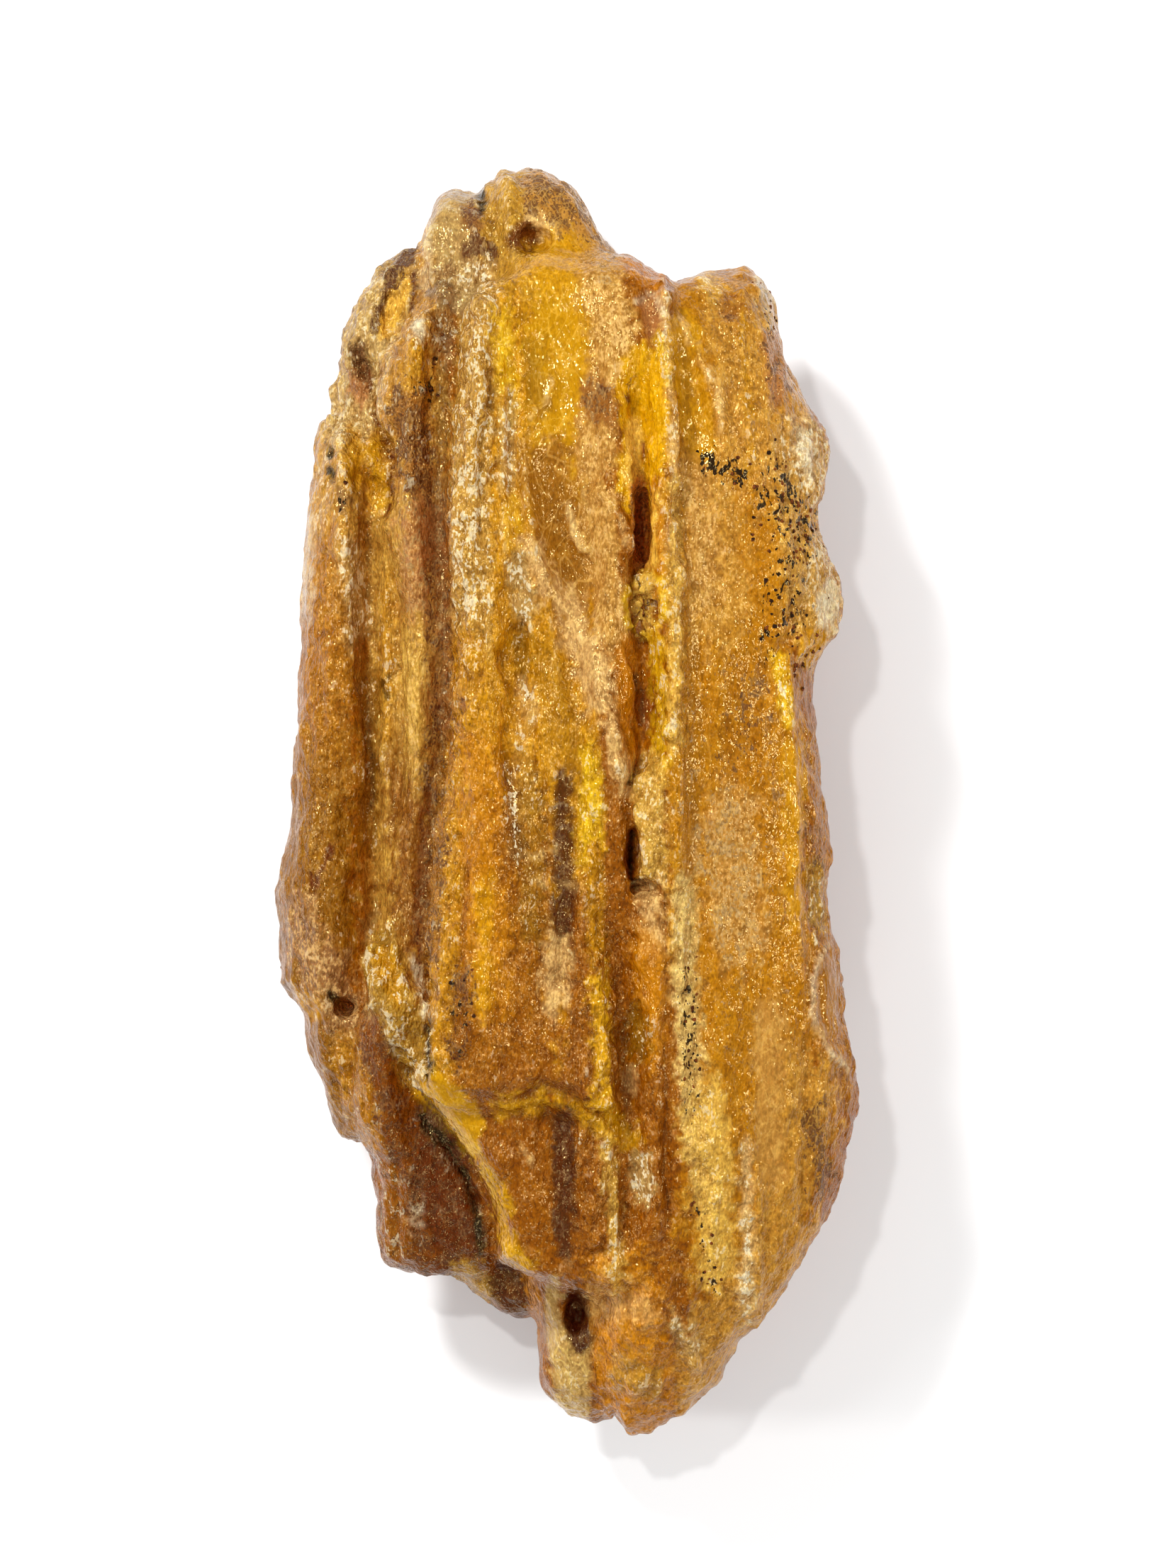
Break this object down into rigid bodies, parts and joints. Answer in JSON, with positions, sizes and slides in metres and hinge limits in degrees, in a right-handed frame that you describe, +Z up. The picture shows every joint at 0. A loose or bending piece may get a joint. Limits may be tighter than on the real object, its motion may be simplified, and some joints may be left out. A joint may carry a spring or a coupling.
{
  "type": "raw copal",
  "caption": "Long raw lump of resin: overlapping flows grown together, with ribs, grooves, ledges and a fairly flat side to rest on.",
  "frame": {"origin": "under the middle of the lump, on the surface that it lies on", "axes": "+Z up from the side that it lies on, +Y along the lump to its upper end on the trunk, +X across it"},
  "size_m": [0.0641, 0.1401, 0.0378],
  "materials": {
    "resin": "cloudy honey resin, glossy on the ribs, dusty in the hollows",
    "bark": "small dry crumbs of dark bark stuck to the resin"
  },
  "bodies": {
    "root": {"copal_lump": "resin"}
  },
  "joints": []
}
